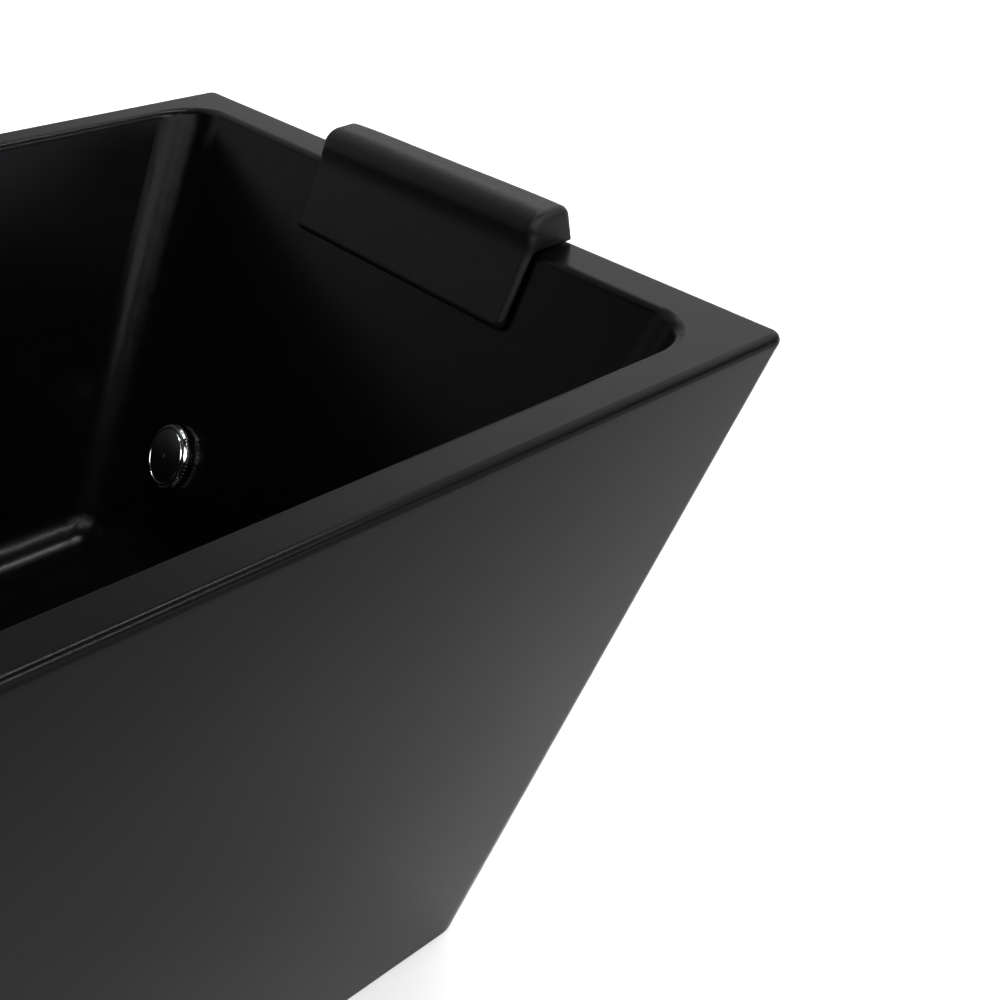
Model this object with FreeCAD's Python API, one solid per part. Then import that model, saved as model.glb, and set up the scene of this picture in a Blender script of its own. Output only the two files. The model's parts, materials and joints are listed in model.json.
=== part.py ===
"""A freestanding soaking bath with a headrest hooked over its rim, in millimetres.

The frame is +Z up, with the origin on the floor under the centre of the bath. +X runs along the bath towards
the headrest end, and +Y across it. Each function below makes one sub-part, and PARTS lists them by name.
"""
import FreeCAD, Part

import math
import os

from FreeCAD import Matrix, Placement, Rotation, Vector

# Driving dimensions of the bath.
OVERALL_LENGTH = 1700.0
OVERALL_WIDTH = 800.0
HEIGHT = 580.0
DEPTH = 405.0                 # from the rim to the floor of the well
BASE_LENGTH = 1290.0          # of the outside, on the floor
BASE_WIDTH = 566.0
WELL_LENGTH = 1620.0          # of the well, at the rim
WELL_WIDTH = 720.0
FLOOR_HALF_LENGTH = 572.0     # of the well's floor, measured to the sharp corner below its fillet
FLOOR_HALF_WIDTH = 283.0

# Corner radii in plan, and edge fillets.
RIM_CORNER_R = 10.0
BASE_CORNER_R = 26.0
WELL_CORNER_R = 45.0
FLOOR_CORNER_R = 40.0
FLOOR_FILLET_R = 38.0
OUTER_EDGE_R = 6.0
INNER_EDGE_R = 9.0


def lost_to_rounding(overall, base):
    """How much further out the rim's sharp edge stands than its widest point once it is rounded over."""
    lean = math.atan2((overall - base) / 2, HEIGHT)
    return OUTER_EDGE_R * ((1 + math.sin(lean)) / math.cos(lean) - 1)


LENGTH = OVERALL_LENGTH + 2 * lost_to_rounding(OVERALL_LENGTH, BASE_LENGTH)
WIDTH = OVERALL_WIDTH + 2 * lost_to_rounding(OVERALL_WIDTH, BASE_WIDTH)
BASE_INSET_END = (LENGTH - BASE_LENGTH) / 2
BASE_INSET_SIDE = (WIDTH - BASE_WIDTH) / 2

# Sheet thicknesses, and the joint under the rim.
SHELL_T = 7.0
APRON_T = 5.0
RIM_SLAB_T = 8.0
LIP_DEPTH = 9.0
LIP_T = 6.0
SEAM_GAP = 0.1
BEAD_T = 1.0
GROUND_GAP = 3.0              # the apron's lower edge stands clear of the floor

RUN_CLEARANCE = 0.06          # radial, on every shaft that turns or slides
PART_CLEARANCE = 0.3          # between pieces that only lie against each other across a joint

# Heights worked out from the top down.
FLOOR_Z = HEIGHT - DEPTH
SHELL_UNDER_Z = FLOOR_Z - SHELL_T
BOARD_T = 16.0
BOARD_Z = SHELL_UNDER_Z - BOARD_T
BAR_HEIGHT = 25.0
BAR_Z = BOARD_Z - BAR_HEIGHT

# The apron's turned-in edges.
FLANGE_W = 25.0               # along its top, glued under the rim
FLANGE_T = 5.0
FOOT_LIP_W = 18.0             # along its foot

# Screws, and the nuts on the feet.
SCREW_R = 2.4
SCREW_HOLE_R = 2.7
SCREW_HEAD_R = 5.0
SCREW_HEAD_T = 3.0
NUT_FLATS = 19.0
WELD_NUT_H = 10.0
LOCK_NUT_H = 7.0

# The two leg bars, with a cleat on each end that is screwed to the apron's blocks.
BAR_X = 440.0
BAR_WIDTH = 40.0
BAR_WALL = 2.0
BAR_HALF_LENGTH = 287.0
BAR_SCREW_TOP = BOARD_Z + 12.0
BAR_SCREW_PLACES = [(sx * BAR_X, y) for sx in (1, -1) for y in (-230.0, -120.0, 120.0, 230.0)]
CLEAT_T = 3.0
CLEAT_HALF = 25.0
CLEAT_Z = (BAR_Z - 12.0, BOARD_Z + 6.0)
CLEAT_SCREW_Z = BAR_Z - 5.0
CLEAT_SCREW_X = (-15.0, 15.0)       # from the middle of the bar

# The four feet.
FOOT_Y = 200.0
FOOT_PLACES = [(sx * BAR_X, sy * FOOT_Y) for sx in (1, -1) for sy in (1, -1)]
STUD_R = 6.0
STUD_PITCH = 1.75
STUD_HOLE_R = 7.0
STUD_TOP = BOARD_Z - BAR_WALL - 3.0
PAD_R = 26.0
PAD_H = 16.0
PAD_SOCKET_Z = 6.0

# The waste, on the middle line of the floor.
DRAIN_X = 300.0
DRAIN_HOLE_R = 27.0
DRAIN_RECESS_R = 36.5
DRAIN_RECESS_Z = FLOOR_Z - 4.0
BOARD_HOLE_R = 48.0
DISH_R = 35.0
DISH_TOP = FLOOR_Z + 0.5
DISH_SEAT_Z = DRAIN_RECESS_Z + 1.5
SEAT_R = 29.0                 # where the stopper's edge sits in the dish
THROAT_R = 21.0
TUBE_R = 25.5                 # the dish's threaded tube
TUBE_BOTTOM = 148.0
GUIDE_Z = (148.0, 156.0)      # the boss that guides the stopper's stem
STOPPER_UNDER = DISH_TOP - 2.2
STEM_R = 3.0
STEM_BOTTOM = 128.0
SOCKET_R = STEM_R + 2.5

# The waste body, and the outlet pipe below it.
BODY_TOP = SHELL_UNDER_Z - 3.5
BODY_FLOOR_Z = 96.0
BODY_R = 30.0
BODY_FLANGE_R = 42.0
CHAMBER_R = 24.0
INLET_X = 50.0
TAIL_R = 19.05
TAIL_NECK_R = TAIL_R - 0.25
TAIL_WALL = 1.6
TAIL_BOTTOM = 12.0
NUT_Z = BODY_FLOOR_Z - 20
NUT_THREAD_R = TAIL_R + 4

# The lever that lifts the stopper, and the crank that the cable turns.
LEVER_ARM = 17.0
LEVER_SWING = 41.3            # degrees, for the stopper's whole travel
LEVER_AXIS = Vector(-LEVER_ARM, 0, 130.7)
LEVER_SHAFT_R = 2.5
CRANK_Y = (BODY_R + 6.5, BODY_R + 11.5)
CRANK_R = 14.0
COVER_R = CRANK_R + 3.5

# The wall under the headrest, and the overflow's place on it.
END_SLOPE = (WELL_LENGTH / 2 - FLOOR_HALF_LENGTH) / DEPTH
SIDE_SLOPE = (WELL_WIDTH / 2 - FLOOR_HALF_WIDTH) / DEPTH
SHELL_T_END = SHELL_T * math.hypot(1, END_SLOPE)
SHELL_T_SIDE = SHELL_T * math.hypot(1, SIDE_SLOPE)
WALL_NORMAL = Vector(-1, 0, END_SLOPE).normalize()


def end_wall_x(z):
    """Where the sloping wall under the headrest stands at height z."""
    return WELL_LENGTH / 2 - END_SLOPE * (HEIGHT - z)


KNOB_Y = 181.0
KNOB_DROP = 292.0             # below the rim, measured vertically to the middle of the knob
KNOB_CENTRE = Vector(end_wall_x(HEIGHT - KNOB_DROP), KNOB_Y, HEIGHT - KNOB_DROP)

# The overflow, with heights measured out from the wall's face.
OVERFLOW_HOLE_R = 24.0
KNOB_R = 34.0
FLUTES = 52
KNOB_REAR = 4.1
KNOB_ROOF = 7.6
KNOB_RIM_TOP = 9.8
KNOB_APEX = 12.4
SPINDLE_R = 4.0
FRONT_GASKET_T = 1.2
REAR_GASKET_T = 1.5
PLATE_R = 28.5
PLATE_T = 2.5
SPIGOT_R = 23.5
SPIGOT_BORE_R = 20.0
SPIGOT_END = -20.0
ELBOW_FLANGE_R = 35.0
ELBOW_FLANGE_T = 4.0
ELBOW_FRONT = -SHELL_T - REAR_GASKET_T
ELBOW_BACK = -46.0
ELBOW_OUTLET = 31.0           # how far behind the wall's face the hose drops

# The hose and the cable, from the overflow down to the waste.
HOSE_R = 14.0
HOSE_WALL = 2.5
HOSE_BORE_R = HOSE_R - 4      # of the outlets that the hose joins
HOSE_Z = 105.0
HOSE_NUT_HALF = 14.0
HOSE_BEND_X = DRAIN_X + 140.0
HOSE_TOP_X = KNOB_CENTRE.x - WALL_NORMAL.x * ELBOW_OUTLET
HOSE_TOP_Z = KNOB_CENTRE.z - 53.5
HOSE_POINTS = [
    Vector(HOSE_TOP_X, KNOB_Y, HOSE_TOP_Z), Vector(HOSE_TOP_X, KNOB_Y, HOSE_Z),
    Vector(HOSE_BEND_X, 0, HOSE_Z), Vector(DRAIN_X + INLET_X, 0, HOSE_Z)]
HOSE_RADII = [85.0, 150.0]
CABLE_R = 3.0
CABLE_SOCKET = 6.0            # how far each end of the sheath goes into its boss
CABLE_Y = (CRANK_Y[0] + CRANK_Y[1]) / 2
CABLE_Z = LEVER_AXIS.z - CRANK_R + 1.0
CABLE_END_X = 16.0
CABLE_TOP_Y = KNOB_Y + 23.0
CABLE_TOP_Z = KNOB_CENTRE.z - 35.5
CABLE_POINTS = [
    Vector(HOSE_TOP_X, CABLE_TOP_Y, CABLE_TOP_Z + CABLE_SOCKET), Vector(HOSE_TOP_X, CABLE_TOP_Y, CABLE_Z),
    Vector(HOSE_BEND_X, CABLE_Y, CABLE_Z), Vector(DRAIN_X + CABLE_END_X - CABLE_SOCKET, CABLE_Y, CABLE_Z)]
CABLE_RADII = [100.0, 170.0]

# The clips that hold the hose under the board.
CLIP_HALF_W = 8.0
CLIP_STRAP = 2.0
CLIP_SCREW_Y = 24.0
CLIP_SCREW_BITE = 10.0
CLIP_EAR = 7.0                # beyond the screw

# The headrest.
HEADREST_LENGTH = 299.0
HEADREST_Y = -35.5            # its middle
HEADREST_BACK_X = OVERALL_LENGTH / 2 - 1.5
HEADREST_TOP = 32.5           # above the rim
HEADREST_DROP = 58.8          # below the rim
HEADREST_PROUD = 8.5          # the flap's face, measured square to the wall
FLAP_GAP = 2.0                # between the flap's back and the wall
ROLL_X = WELL_LENGTH / 2 - 3.0      # the front of the roll, carried up to its top
ROLL_LEAN = 0.15              # how far the front leans out for each unit of height
GRIP_T = 1.0
CORE_T = 1.5

Z_AXIS = Vector(0, 0, 1)


# Helpers.

def rounded_rect(half_x, half_y, r, z):
    """A closed wire: a rectangle with four round corners, level, centred on the Z axis."""
    edges = []
    for sx, sy, start in ((1, 1, 0), (-1, 1, 90), (-1, -1, 180), (1, -1, 270)):
        centre = Vector(sx * (half_x - r), sy * (half_y - r), z)
        arc = Part.ArcOfCircle(Part.Circle(centre, Z_AXIS, r), math.radians(start), math.radians(start + 90))
        edges.append(arc.toShape())
    joined = []
    for i, edge in enumerate(edges):
        after = edges[(i + 1) % 4]
        joined += [edge, Part.makeLine(edge.Vertexes[-1].Point, after.Vertexes[0].Point)]
    return Part.Wire(joined)


def taper(low, high):
    """A solid between two level wires of matching shape, with straight walls."""
    return Part.makeLoft([low, high], True, True)


def prism(half_x, half_y, r, z0, z1):
    """An upright block with rounded corners."""
    return Part.Face(rounded_rect(half_x, half_y, r, z0)).extrude(Vector(0, 0, z1 - z0))


def box(x0, x1, y0, y1, z0, z1):
    return Part.makeBox(x1 - x0, y1 - y0, z1 - z0, Vector(x0, y0, z0))


def rod(r, z0, z1, x=0.0, y=0.0):
    return Part.makeCylinder(r, z1 - z0, Vector(x, y, z0))


def tube(r_out, r_in, z0, z1, x=0.0, y=0.0):
    return rod(r_out, z0, z1, x, y).cut(rod(r_in, z0 - 1, z1 + 1, x, y))


def hexagon(flats, z0, z1, x=0.0, y=0.0):
    """A hexagonal bar, upright, of that size across its flats."""
    r = flats / math.sqrt(3)
    turns = [k * math.pi / 3 for k in range(6)]
    points = [Vector(x + r * math.cos(turn), y + r * math.sin(turn), z0) for turn in turns]
    return Part.Face(Part.makePolygon(points + points[:1])).extrude(Vector(0, 0, z1 - z0))


def turned(profile):
    """A solid of revolution about the Z axis. The profile lists (radius, height) corners."""
    points = [Vector(r, 0, z) for r, z in profile]
    return Part.Face(Part.makePolygon(points + points[:1])).revolve(Vector(0, 0, 0), Z_AXIS, 360)


def fuse(shapes):
    return shapes[0].multiFuse(shapes[1:]).removeSplitter()


def fillet_where(solid, r, wanted):
    """Rounds the edges for which wanted(edge) is true."""
    return solid.makeFillet(r, [e for e in solid.Edges if wanted(e)])


def level_edge(z, tolerance=0.01):
    """Picks the edges that lie at height z."""
    def wanted(edge):
        return abs(edge.BoundBox.ZMin - z) < tolerance and abs(edge.BoundBox.ZMax - z) < tolerance
    return wanted


def along(start, end, r):
    """A round bar from one point to another."""
    return Part.makeCylinder(r, (end - start).Length, start, end - start)


def corner_arc(before, corner, after, r):
    """The start, middle and end of the arc that rounds a corner between two neighbouring points."""
    back = (before - corner).normalize()
    on = (after - corner).normalize()
    half_turn = (math.pi - back.getAngle(on)) / 2
    reach = r * math.tan(half_turn)
    middle_way = (back + on).normalize()
    return corner + back * reach, corner + middle_way * (r / math.cos(half_turn) - r), corner + on * reach


def rounded_outline(corners):
    """A closed wire through corners given as (point, radius). A radius of 0 leaves its corner sharp."""
    points = [point for point, _ in corners]
    arcs = [corner_arc(points[i - 1], point, points[(i + 1) % len(points)], r)
            for i, (point, r) in enumerate(corners)]
    edges = []
    for i, (first, middle, last) in enumerate(arcs):
        after = arcs[(i + 1) % len(arcs)]
        if first != last:
            edges.append(Part.Arc(first, middle, last).toShape())
        edges.append(Part.makeLine(last, after[0]))
    return Part.Wire(edges)


def bent_path(points, radii):
    """A wire of straight runs through the points, with a tangent arc at each inner one."""
    edges = []
    here = points[0]
    for before, corner, after, r in zip(points, points[1:], points[2:], radii):
        first, middle, last = corner_arc(before, corner, after, r)
        edges += [Part.makeLine(here, first), Part.Arc(first, middle, last).toShape()]
        here = last
    edges.append(Part.makeLine(here, points[-1]))
    return Part.Wire(edges)


def bent_tube(points, radii, r_out, r_in=0.0):
    path = bent_path(points, radii)
    start = points[0]
    heading = points[1] - points[0]

    def sweep(r):
        ring = Part.Wire(Part.makeCircle(r, start, heading))
        return path.makePipeShell([ring], True, False)
    return sweep(r_out).cut(sweep(r_in)) if r_in else sweep(r_out)


# The outline of the bath at any height.

def outer_form(z, inset=0.0):
    """The outside of the bath at height z, or that much further in."""
    drop = (HEIGHT - z) / HEIGHT
    r = RIM_CORNER_R + (BASE_CORNER_R - RIM_CORNER_R) * drop
    return rounded_rect(
        LENGTH / 2 - BASE_INSET_END * drop - inset, WIDTH / 2 - BASE_INSET_SIDE * drop - inset,
        max(r - inset, 2.0), z)


def well_form(z, outset_end=0.0, outset_side=0.0):
    """The inside of the well at height z, or that much further out."""
    drop = (HEIGHT - z) / DEPTH
    r = WELL_CORNER_R + (FLOOR_CORNER_R - WELL_CORNER_R) * drop
    half_x = WELL_LENGTH / 2 - (WELL_LENGTH / 2 - FLOOR_HALF_LENGTH) * drop
    half_y = WELL_WIDTH / 2 - (WELL_WIDTH / 2 - FLOOR_HALF_WIDTH) * drop
    return rounded_rect(half_x + outset_end, half_y + outset_side, r + outset_side, z)


def on_wall(shape):
    """Moves a shape modelled about the Z axis, with the wall's face at z = 0, to its place on the wall."""
    across = Vector(0, 1, 0)
    m = Matrix()
    other = across.cross(WALL_NORMAL)
    for row, values in enumerate(zip(other, across, WALL_NORMAL, KNOB_CENTRE)):
        for column, value in enumerate(values):
            setattr(m, f"A{row + 1}{column + 1}", value)
    placed = shape.copy()
    placed.Placement = Placement(m).multiply(placed.Placement)
    return placed


# Shells.

def basin_shell():
    """The well, its rim and the rim's turned-down lip, in one sheet."""
    lip_z, slab_z = HEIGHT - LIP_DEPTH, HEIGHT - RIM_SLAB_T
    rim = fillet_where(taper(outer_form(lip_z), outer_form(HEIGHT)), OUTER_EDGE_R, level_edge(HEIGHT))
    rim = rim.cut(taper(outer_form(lip_z, LIP_T), outer_form(slab_z, LIP_T)))
    skin = taper(
        well_form(SHELL_UNDER_Z, SHELL_T_END, SHELL_T_SIDE), well_form(slab_z + 1, SHELL_T_END, SHELL_T_SIDE))
    skin = fillet_where(skin, FLOOR_FILLET_R + SHELL_T, level_edge(SHELL_UNDER_Z))
    void = taper(well_form(FLOOR_Z), well_form(HEIGHT + 20))
    void = fillet_where(void, FLOOR_FILLET_R, level_edge(FLOOR_Z))
    shell = rim.fuse(skin).cut(void)
    shell = fillet_where(shell, INNER_EDGE_R, lambda e: level_edge(HEIGHT)(e) and of_well(e))
    shell = shell.cut(rod(DRAIN_RECESS_R, DRAIN_RECESS_Z, FLOOR_Z + 1, DRAIN_X))
    shell = shell.cut(rod(DRAIN_HOLE_R, SHELL_UNDER_Z - 1, FLOOR_Z + 1, DRAIN_X))
    return shell.cut(on_wall(rod(OVERFLOW_HOLE_R, -3 * SHELL_T, SHELL_T)))


def of_well(edge):
    """Whether an edge of the rim's flat top belongs to the well's outline and not the outer one."""
    b = edge.BoundBox
    middle_x = (LENGTH + WELL_LENGTH) / 4
    middle_y = (WIDTH + WELL_WIDTH) / 4
    return max(-b.XMin, b.XMax) < middle_x and max(-b.YMin, b.YMax) < middle_y


def apron_shell():
    """The sloping outer skirt, with a turned-in edge at its top and its foot."""
    top_z = HEIGHT - LIP_DEPTH - SEAM_GAP
    flange_top = HEIGHT - RIM_SLAB_T - BEAD_T
    outside = taper(outer_form(GROUND_GAP), outer_form(top_z))
    hollow = taper(outer_form(GROUND_GAP - 1, APRON_T), outer_form(top_z + 1, APRON_T))
    wall = outside.cut(hollow)
    flange_inset = LIP_T + SEAM_GAP
    flange = taper(outer_form(flange_top - FLANGE_T, flange_inset), outer_form(flange_top, flange_inset))
    shoulder = taper(outer_form(flange_top - FLANGE_T, APRON_T / 2), outer_form(top_z, APRON_T / 2))
    flange = flange.fuse(shoulder)
    top_half_x = LENGTH / 2 - LIP_T - FLANGE_W - LIP_DEPTH / 4
    top_half_y = WIDTH / 2 - LIP_T - FLANGE_W - LIP_DEPTH / 4
    flange = flange.cut(prism(top_half_x, top_half_y, WELL_CORNER_R, 0, HEIGHT))
    foot = taper(outer_form(GROUND_GAP), outer_form(GROUND_GAP + APRON_T))
    foot = foot.cut(taper(
        outer_form(GROUND_GAP - 1, FOOT_LIP_W), outer_form(GROUND_GAP + APRON_T + 1, FOOT_LIP_W)))
    return fuse([wall, flange, foot])


def rim_bead():
    """The bead of adhesive between the apron's flange and the rim."""
    z0, z1 = HEIGHT - RIM_SLAB_T - BEAD_T, HEIGHT - RIM_SLAB_T
    bead_in, bead_out = 28.0, 14.0      # from the rim's outer edge
    ring = prism(LENGTH / 2 - bead_out, WIDTH / 2 - bead_out, RIM_CORNER_R, z0, z1)
    return ring.cut(prism(LENGTH / 2 - bead_in, WIDTH / 2 - bead_in, WELL_CORNER_R, z0 - 1, z1 + 1))


def floor_board():
    """The chipboard bonded under the well's floor, which the leg bars are screwed to."""
    board_clear = 32.0      # in from the well's floor
    half_x, half_y = FLOOR_HALF_LENGTH - board_clear, FLOOR_HALF_WIDTH - board_clear
    board = prism(half_x, half_y, FLOOR_CORNER_R, BOARD_Z, SHELL_UNDER_Z)
    board = board.cut(rod(BOARD_HOLE_R, 0, HEIGHT, DRAIN_X))
    for x, y in BAR_SCREW_PLACES:
        board = board.cut(rod(SCREW_R, 0, BAR_SCREW_TOP, x, y))
    for x, y in clip_screw_places():
        board = board.cut(rod(SCREW_R, 0, BOARD_Z + CLIP_SCREW_BITE, x, y))
    return board


# Leg bars, feet and the fixings of the apron.

def leg_bar(x):
    """A square steel tube across the bath, with a cleat welded on each end."""
    half = BAR_WIDTH / 2
    bar = box(x - half, x + half, -BAR_HALF_LENGTH, BAR_HALF_LENGTH, BAR_Z, BOARD_Z)
    bar = bar.cut(box(
        x - half + BAR_WALL, x + half - BAR_WALL, -BAR_HALF_LENGTH - 1, BAR_HALF_LENGTH + 1,
        BAR_Z + BAR_WALL, BOARD_Z - BAR_WALL))
    cleats = [
        box(x - CLEAT_HALF, x + CLEAT_HALF, min(y, y + side * CLEAT_T), max(y, y + side * CLEAT_T), *CLEAT_Z)
        for side in (-1, 1) for y in [side * BAR_HALF_LENGTH]]
    for y in (-FOOT_Y, FOOT_Y):
        bar = bar.cut(rod(STUD_HOLE_R, BAR_Z - 1, BAR_Z + BAR_WALL + 1, x, y))
    bar = fuse([bar] + cleats)
    for place_x, y in BAR_SCREW_PLACES:
        if place_x == x:
            bar = bar.cut(rod(SCREW_HOLE_R, BAR_Z - 1, BOARD_Z + 1, x, y))
    for dx in CLEAT_SCREW_X:
        through = Vector(0, WIDTH, 0)
        start = Vector(x + dx, -WIDTH / 2, CLEAT_SCREW_Z)
        bar = bar.cut(along(start, start + through, SCREW_HOLE_R))
    return bar


def screw(tip, head):
    """A wood screw from its pointed tip to the seat of its head."""
    way = (head - tip).normalize()
    point_length = 2 * SCREW_R
    shank = along(tip + way * point_length, head, SCREW_R)
    point = Part.makeCone(0.3, SCREW_R, point_length, tip, way)
    cap = Part.makeCylinder(SCREW_HEAD_R, SCREW_HEAD_T, head, way)
    slot_depth, slot_w = 1.5, 1.2
    slot = Part.makeBox(3 * SCREW_HEAD_R, slot_w, slot_depth, Vector(-1.5 * SCREW_HEAD_R, -slot_w / 2, 0))
    slot.Placement = Placement(head + way * (SCREW_HEAD_T - slot_depth + 0.01), Rotation(Z_AXIS, way))
    return fuse([shank, point, cap]).cut(slot)


def leg_screws():
    """Eight screws up through the bars into the board."""
    return Part.makeCompound([
        screw(Vector(x, y, BAR_SCREW_TOP), Vector(x, y, BAR_Z)) for x, y in BAR_SCREW_PLACES])


def apron_inner_y(z):
    """Where the inside of the apron's long wall stands at height z."""
    return WIDTH / 2 - BASE_INSET_SIDE * (HEIGHT - z) / HEIGHT - APRON_T


def apron_block(sx, sy):
    """A timber block bonded to the inside of the apron, which a leg bar's cleat is screwed to."""
    z0, z1 = CLEAT_Z
    face = BAR_HALF_LENGTH + CLEAT_T
    points = [Vector(0, face, z0), Vector(0, apron_inner_y(z0), z0), Vector(0, apron_inner_y(z1), z1),
              Vector(0, face, z1)]
    half = 35.0
    block = Part.Face(Part.makePolygon(points + points[:1])).extrude(Vector(2 * half, 0, 0))
    block.translate(Vector(-half, 0, 0))
    for dx in CLEAT_SCREW_X:
        tip = Vector(dx, face + cleat_bite(), CLEAT_SCREW_Z)
        block = block.cut(along(Vector(dx, 0, CLEAT_SCREW_Z), tip, SCREW_R))
    if sy < 0:
        block = block.mirror(Vector(0, 0, 0), Vector(0, 1, 0))
    block.translate(Vector(sx * BAR_X, 0, 0))
    return block


def cleat_bite():
    """How deep a cleat's screw goes into its block."""
    share_of_block = 0.7
    return (apron_inner_y(CLEAT_SCREW_Z) - BAR_HALF_LENGTH - CLEAT_T) * share_of_block


def cleat_screws():
    """The screws out through the cleats into the apron's blocks."""
    screws = []
    for sx in (1, -1):
        for sy in (1, -1):
            for dx in CLEAT_SCREW_X:
                head = Vector(sx * BAR_X + dx, sy * BAR_HALF_LENGTH, CLEAT_SCREW_Z)
                tip = head + Vector(0, sy * (CLEAT_T + cleat_bite()), 0)
                screws.append(screw(tip, head))
    return Part.makeCompound(screws)


def weld_nuts():
    """The nuts welded under the bars, which the studs turn in."""
    z1 = BAR_Z
    return Part.makeCompound([
        hexagon(NUT_FLATS, z1 - WELD_NUT_H, z1, x, y).cut(rod(STUD_R + RUN_CLEARANCE, 0, HEIGHT, x, y))
        for x, y in FOOT_PLACES])


def lock_nuts():
    """The thinner nuts that lock each stud from below."""
    z1 = BAR_Z - WELD_NUT_H
    return Part.makeCompound([
        hexagon(NUT_FLATS, z1 - LOCK_NUT_H, z1, x, y).cut(rod(STUD_R + RUN_CLEARANCE, 0, HEIGHT, x, y))
        for x, y in FOOT_PLACES])


def foot_pad(x, y):
    """A nylon pad that stays on the floor while its stud turns in it."""
    edge, brim, neck_r, top_r = 1.0, 5.0, 13.0, 11.0
    pad = turned([(0, 0), (PAD_R - edge, 0), (PAD_R, edge), (PAD_R, brim), (neck_r, brim + 4), (top_r, PAD_H),
                  (0, PAD_H)])
    pad.translate(Vector(x, y, 0))
    return pad.cut(rod(STUD_R + RUN_CLEARANCE, PAD_SOCKET_Z, HEIGHT, x, y))


def foot_stud(x, y):
    """A threaded stud, with a hexagon to turn it by and a groove for each turn of thread that shows."""
    bottom = PAD_SOCKET_Z + PART_CLEARANCE
    collar = (PAD_H + PART_CLEARANCE, PAD_H + 8.0)
    collar_flats = 17.0
    chamfer = 1.0
    thread_depth = 0.9
    thread_start = collar[1] + chamfer
    turns = int((STUD_TOP - thread_start - chamfer) / STUD_PITCH)
    profile = [(0, bottom), (STUD_R - chamfer, bottom), (STUD_R, bottom + chamfer), (STUD_R, thread_start)]
    for k in range(turns):
        z = thread_start + k * STUD_PITCH
        profile += [(STUD_R - thread_depth, z + STUD_PITCH / 2), (STUD_R, z + STUD_PITCH)]
    profile += [(STUD_R - chamfer, STUD_TOP), (0, STUD_TOP)]
    stud = turned(profile)
    stud.translate(Vector(x, y, 0))
    stud = stud.fuse(hexagon(collar_flats, *collar, x, y))
    slot_half_w, slot_depth = 0.8, 3.0
    slot = box(x - STUD_R, x + STUD_R, y - slot_half_w, y + slot_half_w, STUD_TOP - slot_depth, STUD_TOP)
    return stud.cut(slot)


# The waste under the floor.

def drain_flange():
    """The chromed dish in the floor: a threaded tube below it, and a cross that guides the stopper's stem."""
    chamfer = 1.0
    dish = turned([
        (THROAT_R, TUBE_BOTTOM), (TUBE_R, TUBE_BOTTOM), (TUBE_R, DISH_SEAT_Z), (DISH_R, DISH_SEAT_Z),
        (DISH_R, DISH_TOP - chamfer), (DISH_R - chamfer, DISH_TOP), (SEAT_R + 2.0, DISH_TOP),
        (SEAT_R, DISH_TOP - 2.6), (THROAT_R + 3.0, DISH_TOP - 3.6), (THROAT_R, DISH_TOP - 5.5)])
    arm_half_w, arm_t = 1.6, 4.0
    reach = THROAT_R + 1
    low, high = GUIDE_Z
    arms = [box(-reach, reach, -arm_half_w, arm_half_w, low, low + arm_t),
            box(-arm_half_w, arm_half_w, -reach, reach, low, low + arm_t)]
    boss = rod(STEM_R + 3, low, high)
    return fuse([dish, boss] + arms).cut(rod(STEM_R + RUN_CLEARANCE, 0, HEIGHT))


def drain_gasket_top():
    return tube(DISH_R, DRAIN_HOLE_R, DRAIN_RECESS_Z, DISH_SEAT_Z)


def drain_gasket_under():
    return tube(BODY_FLANGE_R, DRAIN_HOLE_R, BODY_TOP, SHELL_UNDER_Z)


def stopper_cap():
    """The domed plug that closes the waste."""
    dome_height = 3.9
    dome = turned([
        (0, STOPPER_UNDER), (SEAT_R - 3.6, STOPPER_UNDER), (SEAT_R - 3.6, DISH_TOP - 1.0),
        (SEAT_R - 1.0, DISH_TOP - 0.2), (SEAT_R - 0.4, DISH_TOP + 0.8), (SEAT_R - 1.4, DISH_TOP + 1.8),
        (SEAT_R * 0.7, DISH_TOP + 3.0), (SEAT_R * 0.35, DISH_TOP + 3.7), (0, DISH_TOP + dome_height)])
    socket = tube(SOCKET_R, STEM_R, STOPPER_UNDER - 6.8, STOPPER_UNDER)
    return fuse([dome, socket])


def stopper_seal():
    """The rubber lip round the underside of the cap."""
    lip_t = 1.2
    return turned([(SOCKET_R, STOPPER_UNDER - lip_t), (THROAT_R + 2.6, STOPPER_UNDER - 1.0),
                   (THROAT_R + 3.4, STOPPER_UNDER), (SOCKET_R, STOPPER_UNDER)])


def stopper_stem():
    """The pin that the lever lifts."""
    chamfer = 0.8
    return turned([(0, STEM_BOTTOM), (STEM_R - chamfer, STEM_BOTTOM), (STEM_R, STEM_BOTTOM + chamfer),
                   (STEM_R, STOPPER_UNDER), (0, STOPPER_UNDER)])


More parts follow.
